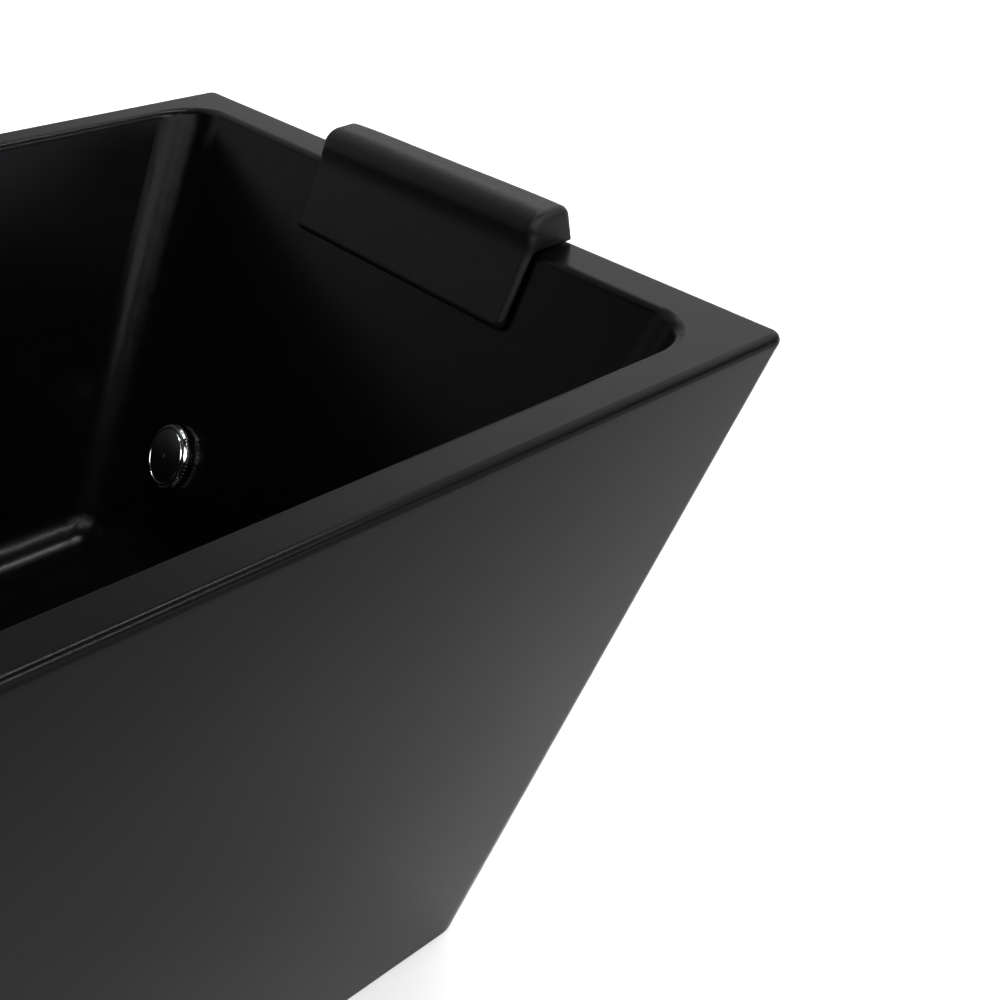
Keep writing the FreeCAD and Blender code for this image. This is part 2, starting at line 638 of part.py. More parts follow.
def drain_body():
    """The moulded body under the floor: it takes the flange, the overflow hose and the tailpiece."""
    neck_z = BODY_FLOOR_Z - 14
    outer = turned([
        (0, neck_z), (NUT_THREAD_R, neck_z), (NUT_THREAD_R, BODY_FLOOR_Z), (BODY_R, BODY_FLOOR_Z + 8),
        (BODY_R, BODY_TOP - 6), (BODY_FLANGE_R, BODY_TOP - 5), (BODY_FLANGE_R, BODY_TOP), (0, BODY_TOP)])
    inlet = along(Vector(0, 0, HOSE_Z), Vector(INLET_X, 0, HOSE_Z), HOSE_R)
    boss_half = 7.0
    boss = box(-LEVER_ARM - boss_half, -LEVER_ARM + boss_half, 0, BODY_R + 6,
               LEVER_AXIS.z - boss_half, LEVER_AXIS.z + boss_half)
    plate_t = 3.0
    plate_front = LEVER_AXIS + Vector(0, CRANK_Y[0] - 0.5, 0)
    plate = along(plate_front - Vector(0, plate_t, 0), plate_front, COVER_R)
    body = fuse([outer, inlet, boss, plate])
    tail_stop = BODY_FLOOR_Z + 4
    chamber = turned([
        (0, neck_z - 1), (TAIL_R, neck_z - 1), (TAIL_R, tail_stop), (TAIL_R - 2, tail_stop),
        (TAIL_R - 2, tail_stop + 2), (CHAMBER_R, tail_stop + 6), (CHAMBER_R, TUBE_BOTTOM - 1),
        (TUBE_R, TUBE_BOTTOM - 1), (TUBE_R, BODY_TOP + 1), (0, BODY_TOP + 1)])
    bore = along(Vector(0, 0, HOSE_Z), Vector(INLET_X + 1, 0, HOSE_Z), HOSE_BORE_R)
    body = body.cut(fuse([chamber, bore]))
    shaft_hole = along(LEVER_AXIS, LEVER_AXIS + Vector(0, BODY_R + 10, 0), LEVER_SHAFT_R + RUN_CLEARANCE)
    return body.cut(shaft_hole)


def lift_lever():
    """The shaft through the body's wall, with the finger that lifts the stem, and the cable's crank."""
    axis = LEVER_AXIS
    half_swing = math.radians(LEVER_SWING / 2)
    tip = axis + Vector(LEVER_ARM * math.cos(half_swing), 0, -LEVER_ARM * math.sin(half_swing))
    finger_half_w, finger_half_t, hub_r = 3.0, 2.0, 5.0
    tip_r = 3.0 - PART_CLEARANCE
    side = Vector(0, finger_half_w, 0)
    hub = along(axis - side, axis + side, hub_r)
    nose = along(tip - side, tip + side, tip_r)
    lean = (tip - axis).normalize()
    square = Vector(-lean.z, 0, lean.x) * finger_half_t
    points = [p - side for p in (axis + square, tip + square, tip - square, axis - square)]
    arm = Part.Face(Part.makePolygon(points + points[:1])).extrude(side * 2)
    shaft = along(axis - side, axis + Vector(0, CRANK_Y[1], 0), LEVER_SHAFT_R)
    crank_start = Vector(axis.x, CRANK_Y[0], axis.z)
    crank_end = Vector(axis.x, CRANK_Y[1], axis.z)
    disc = along(crank_start, crank_end, CRANK_R)
    cheek = Vector(0, 1.5, 0)
    groove_depth = 2.0
    groove = along(crank_start + cheek, crank_end - cheek, CRANK_R + 1)
    groove = groove.cut(along(crank_start, crank_end, CRANK_R - groove_depth))
    return fuse([hub, nose, arm, shaft, disc.cut(groove)])


def crank_cover():
    """The clipped-on cap over the crank, which also ends the cable's sheath."""
    x, z = LEVER_AXIS.x, LEVER_AXIS.z
    wall = 2.0
    inner_r = COVER_R - wall
    y0, y1 = CRANK_Y[0] - 0.5, CRANK_Y[1] + 1.0
    cup = along(Vector(x, y0, z), Vector(x, y1 + wall, z), COVER_R)
    cable_in = Vector(x, CABLE_Y, CABLE_Z)
    cable_out = Vector(CABLE_END_X, CABLE_Y, CABLE_Z)
    sheath_end = cable_out - Vector(CABLE_SOCKET, 0, 0)
    boss = along(cable_in, cable_out, CABLE_R + wall)
    cup = fuse([cup, boss]).cut(box(x, CABLE_END_X + 1, 0, y0, 0, HEIGHT))
    cup = cup.cut(along(Vector(x, y0 - 1, z), Vector(x, y1, z), inner_r))
    cup = cup.cut(along(cable_in, sheath_end, CABLE_R - 1))
    return cup.cut(along(sheath_end, cable_out + Vector(1, 0, 0), CABLE_R))


def tailpiece():
    """The outlet pipe down to the floor's waste connection. Its neck, inside the nut, is turned down."""
    bore_r = TAIL_R - TAIL_WALL
    neck_z = NUT_Z - 1.0
    neck = tube(TAIL_NECK_R, bore_r, neck_z, BODY_FLOOR_Z + 4)
    return fuse([tube(TAIL_R, bore_r, TAIL_BOTTOM, neck_z), neck])


def tailpiece_nut():
    """The ribbed nut that holds the outlet pipe up into the body."""
    z0, z1 = NUT_Z, BODY_FLOOR_Z - 6
    hole_r, outer_r, chamfer = TAIL_R + 0.4, TAIL_R + 9, 1.5
    nut = turned([(hole_r, z0), (outer_r - chamfer, z0), (outer_r, z0 + chamfer), (outer_r, z1),
                  (NUT_THREAD_R, z1), (NUT_THREAD_R, z0 + 6), (hole_r, z0 + 4)])
    return ribbed(nut, z0, z1, outer_r, 12)


def ribbed(collar, z0, z1, r, count):
    """Cuts that many shallow grooves up the outside of an upright collar."""
    groove_r, groove_depth = 2.1, 0.9
    reach = r + groove_r - groove_depth
    for k in range(count):
        angle = 2 * math.pi * k / count
        collar = collar.cut(rod(groove_r, z0 - 1, z1 + 1, reach * math.cos(angle), reach * math.sin(angle)))
    return collar


def tailpiece_washer():
    """The tapered washer that the nut squeezes against the pipe."""
    z0, z1 = NUT_Z + 4.2, NUT_Z + 6
    return turned([(TAIL_NECK_R, z0), (NUT_THREAD_R - 0.1, z1), (TAIL_NECK_R, z1)])


def hose_nut(start, end):
    """A ribbed collar that clamps an end of the overflow hose."""
    way = (end - start).normalize()
    length = (end - start).Length
    outer_r = HOSE_R + 5
    nut = ribbed(tube(outer_r, HOSE_R, 0, length), 0, length, outer_r, 10)
    nut.Placement = Placement(start, Rotation(Z_AXIS, way))
    return nut


# The overflow behind the end wall.

def overflow_knob():
    """The chromed knob: a shallow dome inside a round rim, with a fluted edge, hollow behind."""
    rim_w = 6.5
    dome_r = KNOB_R - rim_w
    sag = 2.1               # of the dome, from its middle to its edge
    sphere_r = (dome_r ** 2 + sag ** 2) / (2 * sag)
    half_dome_z = KNOB_APEX - sphere_r + math.sqrt(sphere_r ** 2 - (dome_r / 2) ** 2)
    edge_z = KNOB_APEX - sag
    groove = 0.8            # round the dome's edge
    skirt = 3.6
    rim_edge_z = KNOB_RIM_TOP - 3.0
    rim_start = dome_r + 2 * groove

    def corner(r, z):
        return Vector(r, 0, z)
    outline = [
        Part.makeLine(corner(0, KNOB_ROOF), corner(0, KNOB_APEX)),
        Part.Arc(corner(0, KNOB_APEX), corner(dome_r / 2, half_dome_z), corner(dome_r, edge_z)).toShape(),
        Part.Arc(corner(dome_r, edge_z), corner(dome_r + groove, edge_z - groove),
                 corner(rim_start, edge_z - groove / 2)).toShape(),
        Part.Arc(corner(rim_start, edge_z - groove / 2), corner(KNOB_R - 1.8, KNOB_RIM_TOP - 0.6),
                 corner(KNOB_R, rim_edge_z)).toShape(),
        Part.makeLine(corner(KNOB_R, rim_edge_z), corner(KNOB_R, KNOB_REAR)),
        Part.makeLine(corner(KNOB_R, KNOB_REAR), corner(KNOB_R - skirt, KNOB_REAR)),
        Part.makeLine(corner(KNOB_R - skirt, KNOB_REAR), corner(KNOB_R - skirt, KNOB_ROOF)),
        Part.makeLine(corner(KNOB_R - skirt, KNOB_ROOF), corner(0, KNOB_ROOF)),
    ]
    knob = Part.Face(Part.Wire(outline)).revolve(Vector(0, 0, 0), Z_AXIS, 360)
    flute_r = 1.3
    flute_depth = 0.85
    flute_top = rim_edge_z - 0.2
    reach = KNOB_R + flute_r - flute_depth
    flutes = []
    for k in range(FLUTES):
        angle = 2 * math.pi * k / FLUTES
        x, y = reach * math.cos(angle), reach * math.sin(angle)
        flutes.append(rod(flute_r, KNOB_REAR - 1, flute_top, x, y))
        flutes.append(Part.makeSphere(flute_r, Vector(x, y, flute_top)))
    for flute in flutes:
        knob = knob.cut(flute)
    hub = tube(SPINDLE_R + 3, SPINDLE_R, KNOB_REAR, KNOB_ROOF)
    return on_wall(fuse([knob, hub]))


def knob_spindle():
    """The spindle from the knob to the drum that pulls the cable."""
    low, high = ELBOW_BACK + 8, ELBOW_BACK + 15
    drum_r, groove_r = 11.0, 9.0
    cheek, bevel = 2.0, 0.5
    return on_wall(turned([
        (0, low), (drum_r, low), (drum_r, low + cheek), (groove_r, low + cheek + bevel),
        (groove_r, high - cheek - bevel), (drum_r, high - cheek), (drum_r, high), (SPINDLE_R, high),
        (SPINDLE_R, KNOB_ROOF), (0, KNOB_ROOF)]))


def overflow_plate():
    """The plate against the wall: three spokes carry the spindle's bearing, and water passes between them."""
    z0, z1 = FRONT_GASKET_T, FRONT_GASKET_T + PLATE_T
    edge_r = 0.8
    ring = tube(PLATE_R, SPIGOT_BORE_R, z0, z1)
    ring = fillet_where(ring, edge_r, lambda e: level_edge(z1)(e) and e.BoundBox.XMax > SPIGOT_R)
    spigot = tube(SPIGOT_R, SPIGOT_BORE_R, SPIGOT_END, z1)
    hub = rod(SPINDLE_R + 3.5, -6, z1)
    spoke_half_w, spoke_back, spoke_count = 2.0, -4.0, 3
    spokes = []
    for k in range(spoke_count):
        spoke = box(0, SPIGOT_BORE_R + 0.5, -spoke_half_w, spoke_half_w, spoke_back, z1 - 0.5)
        spoke.rotate(Vector(0, 0, 0), Z_AXIS, 360 / spoke_count * k + 90)
        spokes.append(spoke)
    plate = fuse([ring, spigot, hub] + spokes)
    return on_wall(plate.cut(rod(SPINDLE_R + RUN_CLEARANCE, ELBOW_BACK, KNOB_APEX)))


def overflow_gasket_front():
    return on_wall(tube(PLATE_R - 0.5, OVERFLOW_HOLE_R, 0, FRONT_GASKET_T))


def overflow_gasket_rear():
    return on_wall(tube(ELBOW_FLANGE_R, OVERFLOW_HOLE_R, -SHELL_T - REAR_GASKET_T, -SHELL_T))


def overflow_elbow():
    """The moulded cup behind the wall, with an outlet for the hose and a boss for the cable."""
    cup_r, wall = 27.0, 2.5
    flange = rod(ELBOW_FLANGE_R, ELBOW_FRONT - ELBOW_FLANGE_T, ELBOW_FRONT)
    cup = on_wall(fuse([flange, rod(cup_r, ELBOW_BACK, ELBOW_FRONT)]))
    hollow = rod(cup_r - wall, ELBOW_BACK + wall, SPIGOT_END).fuse(rod(SPIGOT_R, SPIGOT_END, ELBOW_FRONT + 1))
    below = Vector(0, 0, -1)
    top = Vector(HOSE_TOP_X, KNOB_Y, KNOB_CENTRE.z - WALL_NORMAL.z * ELBOW_OUTLET)
    low = HOSE_POINTS[0]
    outlet = along(top, low, HOSE_R)
    cable_top = Vector(HOSE_TOP_X, CABLE_TOP_Y, top.z - 4)
    sheath_end = CABLE_POINTS[0]
    cable_low = Vector(HOSE_TOP_X, CABLE_TOP_Y, CABLE_TOP_Z)
    cable_boss = along(cable_top, cable_low, CABLE_R + wall)
    body = fuse([cup, outlet, cable_boss]).cut(on_wall(hollow))
    body = body.cut(along(top, low + below, HOSE_BORE_R))
    body = body.cut(along(cable_top, sheath_end, CABLE_R - 1))
    return body.cut(along(sheath_end, cable_low + below, CABLE_R))


def overflow_hose():
    """The hose from the overflow down to the waste, held by two clips."""
    return bent_tube(HOSE_POINTS, HOSE_RADII, HOSE_R, HOSE_R - HOSE_WALL)


def pull_cable():
    """The sheathed cable that carries the knob's turn to the lever."""
    return bent_tube(CABLE_POINTS, CABLE_RADII, CABLE_R)


def clip_places():
    """Where each clip stands on the hose: x, y and how far its strap is turned about the vertical."""
    corner, bend, end = HOSE_POINTS[1:4]
    run = corner - bend
    share_of_run = 0.27
    slanting = bend + run * share_of_run
    straight = end + Vector(30.0, 0, 0)
    return [(slanting.x, slanting.y, math.degrees(math.atan2(run.y, run.x))), (straight.x, straight.y, 0.0)]


def clip_screw_places():
    places = []
    for x, y, turn in clip_places():
        sideways = Rotation(Z_AXIS, turn).multVec(Vector(0, CLIP_SCREW_Y, 0))
        places += [(x + side * sideways.x, y + side * sideways.y) for side in (-1, 1)]
    return places


def hose_clips():
    """Saddle clips: a strap under the hose, with an ear each side screwed to the board."""
    clips = []
    r = HOSE_R
    rise = BOARD_Z - HOSE_Z
    for x, y, turn in clip_places():
        hoop = tube(r + CLIP_STRAP, r, -CLIP_HALF_W, CLIP_HALF_W)
        hoop.rotate(Vector(0, 0, 0), Vector(0, 1, 0), 90)
        hoop = hoop.cut(box(-CLIP_HALF_W - 1, CLIP_HALF_W + 1, -2 * r, 2 * r, 0, 2 * r))
        legs = [box(-CLIP_HALF_W, CLIP_HALF_W, min(y0, y1), max(y0, y1), 0, rise)
                for y0, y1 in ((r, r + CLIP_STRAP), (-r, -r - CLIP_STRAP))]
        ears = [box(-CLIP_HALF_W, CLIP_HALF_W, min(y0, y1), max(y0, y1), rise - CLIP_STRAP, rise)
                for y0, y1 in ((r, CLIP_SCREW_Y + CLIP_EAR), (-r, -CLIP_SCREW_Y - CLIP_EAR))]
        clip = fuse([hoop] + legs + ears)
        clip.rotate(Vector(0, 0, 0), Z_AXIS, turn)
        clip.translate(Vector(x, y, HOSE_Z))
        for screw_x, screw_y in clip_screw_places():
            clip = clip.cut(rod(SCREW_HOLE_R, 0, HEIGHT, screw_x, screw_y))
        clips.append(clip)
    return Part.makeCompound(clips)


def clip_screws():
    seat = BOARD_Z - CLIP_STRAP
    return Part.makeCompound([
        screw(Vector(x, y, BOARD_Z + CLIP_SCREW_BITE), Vector(x, y, seat)) for x, y in clip_screw_places()])


# The headrest. Its section is drawn in X and Z, then run along Y.

def wall_point(drop, proud):
    """A point that far below the rim, standing proud of the end wall, measured square to it."""
    return Vector(end_wall_x(HEIGHT - drop) + WALL_NORMAL.x * proud, 0, HEIGHT - drop + WALL_NORMAL.z * proud)


def headrest_section():
    """The pad's closed outline: a block on the rim that rolls over into a thin flap down the wall."""
    under = HEIGHT + PART_CLEARANCE + GRIP_T
    top = HEIGHT + HEADREST_TOP
    face = wall_point(0, HEADREST_PROUD)
    behind = wall_point(0, FLAP_GAP)
    bend_z = (ROLL_X - ROLL_LEAN * top - face.x + END_SLOPE * face.z) / (END_SLOPE - ROLL_LEAN)
    bend = Vector(ROLL_X - ROLL_LEAN * (top - bend_z), 0, bend_z)
    return rounded_outline([
        (Vector(HEADREST_BACK_X, 0, under), 0),
        (Vector(HEADREST_BACK_X, 0, top), 9.5),
        (Vector(ROLL_X, 0, top), 20.0),
        (bend, 30.0),
        (wall_point(HEADREST_DROP, HEADREST_PROUD), 5.0),
        (wall_point(HEADREST_DROP, FLAP_GAP), 0),
        (Vector(behind.x + END_SLOPE * (under - behind.z), 0, under), 9.5)])


def along_headrest(wire, length):
    """Runs a section along Y to that length, about the headrest's middle."""
    shape = Part.Face(wire).extrude(Vector(0, length, 0))
    shape.translate(Vector(0, HEADREST_Y - length / 2, 0))
    return shape


def headrest_core():
    """A bent steel strip moulded inside the pad, which keeps its hook shape."""
    end_cover, tip_cover, back_cover = 20.0, 14.0, 12.5
    top = HEIGHT + 15.0
    back_x = HEADREST_BACK_X - back_cover
    mid = (HEADREST_PROUD + FLAP_GAP) / 2
    front_x = WELL_LENGTH / 2 + 1.0
    low = wall_point(HEADREST_DROP - tip_cover, mid)
    shoulder = wall_point(7.0, mid)
    half_square = WALL_NORMAL * (CORE_T / 2)
    points = [
        Vector(back_x, 0, top), Vector(front_x, 0, top), shoulder + half_square, low + half_square,
        low - half_square, shoulder - half_square, Vector(front_x + CORE_T, 0, top - CORE_T),
        Vector(back_x, 0, top - CORE_T)]
    return along_headrest(Part.makePolygon(points + points[:1]), HEADREST_LENGTH - 2 * end_cover)


def headrest_pad():
    """The moulded foam pad, hooked over the rim, with the core's cavity inside it."""
    pad = along_headrest(headrest_section(), HEADREST_LENGTH)
    ends = (HEADREST_Y - HEADREST_LENGTH / 2, HEADREST_Y + HEADREST_LENGTH / 2)

    end_edge_r, rounded_height = 4.0, 26.0

    def end_edge(edge):
        b = edge.BoundBox
        flat = b.YMax - b.YMin < 0.01 and min(abs(b.YMin - y) for y in ends) < 0.01
        return flat and b.ZMin > HEIGHT + HEADREST_TOP - rounded_height
    pad = fillet_where(pad, end_edge_r, end_edge)
    return pad.cut(headrest_core())


def headrest_grip(side):
    """A thin silicone strip under the pad, so that it stays put on the rim."""
    half_length, width, back_gap = 55.0, 20.0, 7.5
    middle = HEADREST_Y + side * (half_length + 23.0)
    back = HEADREST_BACK_X - back_gap
    low = HEIGHT + PART_CLEARANCE
    return box(back - width, back, middle - half_length, middle + half_length, low, low + GRIP_T)


def at_drain(make):
    """Wraps a function that models a piece of the waste about the Z axis, to put the piece in its place."""
    def moved():
        shape = make()
        shape.translate(Vector(DRAIN_X, 0, 0))
        return shape
    return moved


def hose_nut_overflow():
    """The collar at the hose's upper end."""
    on_hose, on_elbow = Vector(0, 0, 16), Vector(0, 0, 9)
    return hose_nut(HOSE_POINTS[0] - on_hose, HOSE_POINTS[0] + on_elbow)


def hose_nut_waste():
    """The collar at the hose's lower end."""
    half = Vector(HOSE_NUT_HALF, 0, 0)
    return hose_nut(HOSE_POINTS[-1] - half, HOSE_POINTS[-1] + half)


PARTS = {
    "basin_shell": basin_shell,
    "apron_shell": apron_shell,
    "rim_adhesive_bead": rim_bead,
    "floor_board": floor_board,
    "leg_bar_head_end": lambda: leg_bar(BAR_X),
    "leg_bar_foot_end": lambda: leg_bar(-BAR_X),
    "leg_bar_screws": leg_screws,
    "cleat_screws": cleat_screws,
    "foot_weld_nuts": weld_nuts,
    "foot_lock_nuts": lock_nuts,
    "overflow_knob": overflow_knob,
    "knob_spindle": knob_spindle,
    "overflow_plate": overflow_plate,
    "overflow_gasket_front": overflow_gasket_front,
    "overflow_gasket_rear": overflow_gasket_rear,
    "overflow_elbow": overflow_elbow,
    "overflow_hose": overflow_hose,
    "hose_nut_overflow": hose_nut_overflow,
    "hose_nut_waste": hose_nut_waste,
    "hose_clips": hose_clips,
    "hose_clip_screws": clip_screws,
    "pull_cable": pull_cable,
    "headrest_pad": headrest_pad,
    "headrest_core": headrest_core,
    "headrest_grip_left": lambda: headrest_grip(1),
    "headrest_grip_right": lambda: headrest_grip(-1),
}
WASTE_PARTS = [
    drain_flange, drain_gasket_top, drain_gasket_under, drain_body, stopper_cap, stopper_seal, stopper_stem,
    lift_lever, crank_cover, tailpiece, tailpiece_nut, tailpiece_washer]
for waste_part in WASTE_PARTS:
    PARTS[waste_part.__name__] = at_drain(waste_part)
for number, (foot_x, foot_y) in enumerate(FOOT_PLACES, start=1):
    PARTS[f"foot_pad_{number}"] = lambda x=foot_x, y=foot_y: foot_pad(x, y)
    PARTS[f"foot_stud_{number}"] = lambda x=foot_x, y=foot_y: foot_stud(x, y)
    PARTS[f"apron_block_{number}"] = lambda x=foot_x, y=foot_y: apron_block(
        math.copysign(1, x), math.copysign(1, y))


def main():
    os.makedirs("parts", exist_ok=True)
    for name, make in PARTS.items():
        shape = make()
        state = "ok" if shape.isValid() and shape.Solids else "BAD"
        print(f"{name}: {len(shape.Solids)} solid(s), {shape.Volume / 1000:.2f} cm3, {state}")
        shape.exportStep(f"parts/{name}.step")


main()
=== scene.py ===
"""A freestanding bath with a headrest, in a studio, seen at its headrest end. Lengths are in metres."""
import math

import bmesh
import bpy
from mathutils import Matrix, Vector, noise
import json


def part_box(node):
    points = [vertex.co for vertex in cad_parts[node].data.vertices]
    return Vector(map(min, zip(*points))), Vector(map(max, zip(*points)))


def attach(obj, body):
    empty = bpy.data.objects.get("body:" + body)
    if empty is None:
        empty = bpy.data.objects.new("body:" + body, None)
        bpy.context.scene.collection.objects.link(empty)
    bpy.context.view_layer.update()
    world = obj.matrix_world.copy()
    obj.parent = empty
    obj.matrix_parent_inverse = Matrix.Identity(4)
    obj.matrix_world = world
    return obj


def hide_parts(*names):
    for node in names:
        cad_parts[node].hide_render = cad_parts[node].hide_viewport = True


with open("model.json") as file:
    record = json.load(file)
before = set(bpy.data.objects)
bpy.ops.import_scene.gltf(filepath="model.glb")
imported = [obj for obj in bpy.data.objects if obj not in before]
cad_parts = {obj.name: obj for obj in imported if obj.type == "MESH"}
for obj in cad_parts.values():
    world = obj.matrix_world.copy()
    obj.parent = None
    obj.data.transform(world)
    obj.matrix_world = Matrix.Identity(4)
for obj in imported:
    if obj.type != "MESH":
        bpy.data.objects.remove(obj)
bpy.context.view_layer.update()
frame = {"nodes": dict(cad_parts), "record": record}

SCENE = bpy.context.scene
SCENE.view_settings.view_transform = "Standard"
RIM_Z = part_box("basin_shell")[1].z


# Material building blocks.

class NodeTree:
    """Short ways to add nodes to a tree and join them."""

    def __init__(self, tree):
        self.tree = tree

    def node(self, kind, **settings):
        made = self.tree.nodes.new("ShaderNode" + kind)
        for key, value in settings.items():
            setattr(made, key, value)
        return made

    def join(self, out_socket, in_socket):
        self.tree.links.new(out_socket, in_socket)


class Graph(NodeTree):
    """A material's nodes, which end in its Principled shader."""

    def __init__(self, name):
        self.material = bpy.data.materials.new(name)
        self.material.use_nodes = True
        super().__init__(self.material.node_tree)
        self.shader = self.tree.nodes["Principled BSDF"]

    def constants(self, **values):
        """Sets values on the shader's own sockets, with _ in place of a space."""
        for key, value in values.items():
            self.shader.inputs[key.replace("_", " ")].default_value = value

    def place(self):
        return self.node("TexCoord").outputs["Object"]

    def noise(self, scale, detail=4.0, roughness=0.55, stretch=None):
        """Fractal noise in object space. scale is in features per metre."""
        texture = self.node("TexNoise")
        texture.inputs["Scale"].default_value = scale
        texture.inputs["Detail"].default_value = detail
        texture.inputs["Roughness"].default_value = roughness
        if stretch:
            mapping = self.node("Mapping")
            mapping.inputs["Scale"].default_value = stretch
            self.join(self.place(), mapping.inputs["Vector"])
            self.join(mapping.outputs["Vector"], texture.inputs["Vector"])
        else:
            self.join(self.place(), texture.inputs["Vector"])
        return texture.outputs["Fac"]

    def span(self, value, low, high, start=0.3, end=0.7):
        """Maps a value from start..end to low..high."""
        ranged = self.node("MapRange")
        for key, number in (("From Min", start), ("From Max", end), ("To Min", low), ("To Max", high)):
            ranged.inputs[key].default_value = number
        self.join(value, ranged.inputs["Value"])
        return ranged.outputs["Result"]

    def blend_colours(self, value, low, high, start=0.3, end=0.7):
        """A colour between low and high, by a value between start and end."""
        ramp = self.node("ValToRGB")
        ramp.color_ramp.elements[0].position = start
        ramp.color_ramp.elements[1].position = end
        ramp.color_ramp.elements[0].color = (*low, 1)
        ramp.color_ramp.elements[1].color = (*high, 1)
        self.join(value, ramp.inputs["Fac"])
        return ramp.outputs["Color"]

    def bump(self, height, strength, distance, after=None):
        made = self.node("Bump")
        made.inputs["Strength"].default_value = strength
        made.inputs["Distance"].default_value = distance
        self.join(height, made.inputs["Height"])
        if after:
            self.join(after, made.inputs["Normal"])
        return made.outputs["Normal"]

    def finish(self, colour=None, roughness=None, normal=None):
        for value, key in ((colour, "Base Color"), (roughness, "Roughness"), (normal, "Normal")):
            if value is not None:
                self.join(value, self.shader.inputs[key])
        return self.material


def acrylic():
    """Black satin acrylic: a faint mottling in the gloss and a very fine grain."""
    g = Graph("black_acrylic")
    g.constants(IOR=1.49, Specular_IOR_Level=0.075)
    colour = g.blend_colours(g.noise(9.0), (0.0004, 0.0004, 0.0005), (0.0007, 0.0007, 0.0008))
    roughness = g.span(g.noise(45.0, 6.0), 0.23, 0.27)
    grain = g.bump(g.noise(900.0, 2.0), 0.04, 0.0001)
    return g.finish(colour, roughness, grain)


def foam_skin():
    """The headrest's integral skin: black, soft, with a fine leathery grain."""
    g = Graph("headrest_skin")
    g.constants(IOR=1.45, Specular_IOR_Level=0.13)
    colour = g.blend_colours(g.noise(60.0), (0.0032, 0.0032, 0.0033), (0.0044, 0.0044, 0.0045))
    roughness = g.span(g.noise(220.0, 5.0), 0.34, 0.44)
    cells = g.node("TexVoronoi", feature="DISTANCE_TO_EDGE")
    cells.inputs["Scale"].default_value = 1100.0
    g.join(g.place(), cells.inputs["Vector"])
    creases = g.bump(g.span(cells.outputs["Distance"], 0.0, 1.0, 0.0, 0.25), 0.22, 0.00012)
    return g.finish(colour, roughness, g.bump(g.noise(35.0, 3.0), 0.12, 0.0008, after=creases))


def metal(name, colour, roughness, scratch=0.02, streaks=None):
    """A metal with uneven polish and faint marks."""
    g = Graph(name)
    g.constants(Metallic=1.0)
    darker = tuple(c * 0.93 for c in colour)
    marks = g.noise(400.0, 6.0, stretch=streaks)
    tint = g.blend_colours(g.noise(60.0), darker, colour)
    return g.finish(tint, g.span(marks, roughness, roughness * 1.6), g.bump(marks, scratch, 0.0001))


def plastic(name, colour, roughness, grain=0.12, scale=900.0):
    """Moulded plastic with a fine spark-eroded grain."""
    g = Graph(name)
    lighter = tuple(min(1.0, c * 1.12 + 0.002) for c in colour)
    tint = g.blend_colours(g.noise(40.0), colour, lighter)
    return g.finish(tint, g.span(g.noise(90.0), roughness - 0.05, roughness + 0.05),
                    g.bump(g.noise(scale, 3.0), grain, 0.0002))


def chipboard():
    """Resin-sealed chipboard: flakes of several browns."""
    g = Graph("sealed_chipboard")
    flakes = g.node("TexVoronoi")
    flakes.inputs["Scale"].default_value = 260.0
    g.join(g.place(), flakes.inputs["Vector"])
    grey = g.node("RGBToBW")
    g.join(flakes.outputs["Color"], grey.inputs["Color"])
    colour = g.blend_colours(grey.outputs["Val"], (0.23, 0.145, 0.07), (0.52, 0.38, 0.22), 0.15, 0.85)
    roughness = g.span(g.noise(30.0), 0.4, 0.65)
    return g.finish(colour, roughness, g.bump(flakes.outputs["Distance"], 0.25, 0.0006))


def softwood():
    """Sawn softwood with its grain along the bath."""
    g = Graph("sawn_softwood")
    rings = g.noise(55.0, 6.0, 0.6, stretch=(0.08, 1.0, 1.0))
    colour = g.blend_colours(rings, (0.40, 0.24, 0.10), (0.66, 0.46, 0.25))
    return g.finish(colour, g.span(rings, 0.6, 0.8), g.bump(rings, 0.3, 0.0008))


MATERIALS = {
    "acrylic": acrylic(),
    "adhesive": plastic("cured_sealant", (0.55, 0.54, 0.50), 0.55),
    "board": chipboard(),
    "timber": softwood(),
    "galvanised": metal("zinc_plate", (0.60, 0.62, 0.64), 0.28, 0.08),
    "nylon": plastic("black_nylon", (0.018, 0.018, 0.019), 0.5),
    "chrome": metal("chrome_plate", (0.80, 0.81, 0.83), 0.045, 0.01),
    "seal_rubber": plastic("black_rubber", (0.02, 0.02, 0.02), 0.7),
    "plumbing_plastic": plastic("grey_polypropylene", (0.42, 0.43, 0.44), 0.42),
    "hose_plastic": plastic("pale_hose", (0.62, 0.62, 0.58), 0.4),
    "cable_sheath": plastic("cable_sheath", (0.03, 0.03, 0.033), 0.45),
    "headrest_foam": foam_skin(),
    "silicone": plastic("grey_silicone", (0.16, 0.16, 0.165), 0.6),
}


def dress_cad_nodes():
    """Every CAD piece gets its slot's material."""
    for part in frame["record"]["subparts"]:
        piece = frame["nodes"][part["node"]]
        piece.data.materials.clear()
        piece.data.materials.append(MATERIALS[part["material_slot"]])


# The headrest. Its outline is drawn in X and Z, then run along Y.

END_SLOPE = 238.0 / 405.0            # how far the well's end leans out for each unit of height
WELL_EDGE_X = 0.810                  # where the end wall meets the rim
END_OUT = Vector((-1.0, 0.0, END_SLOPE)).normalized()


def on_end_wall(drop, proud):
    """A point that far below the rim, and standing that far proud of the wall under the headrest."""
    return Vector((WELL_EDGE_X - END_SLOPE * drop, 0.0, RIM_Z - drop)) + END_OUT * proud


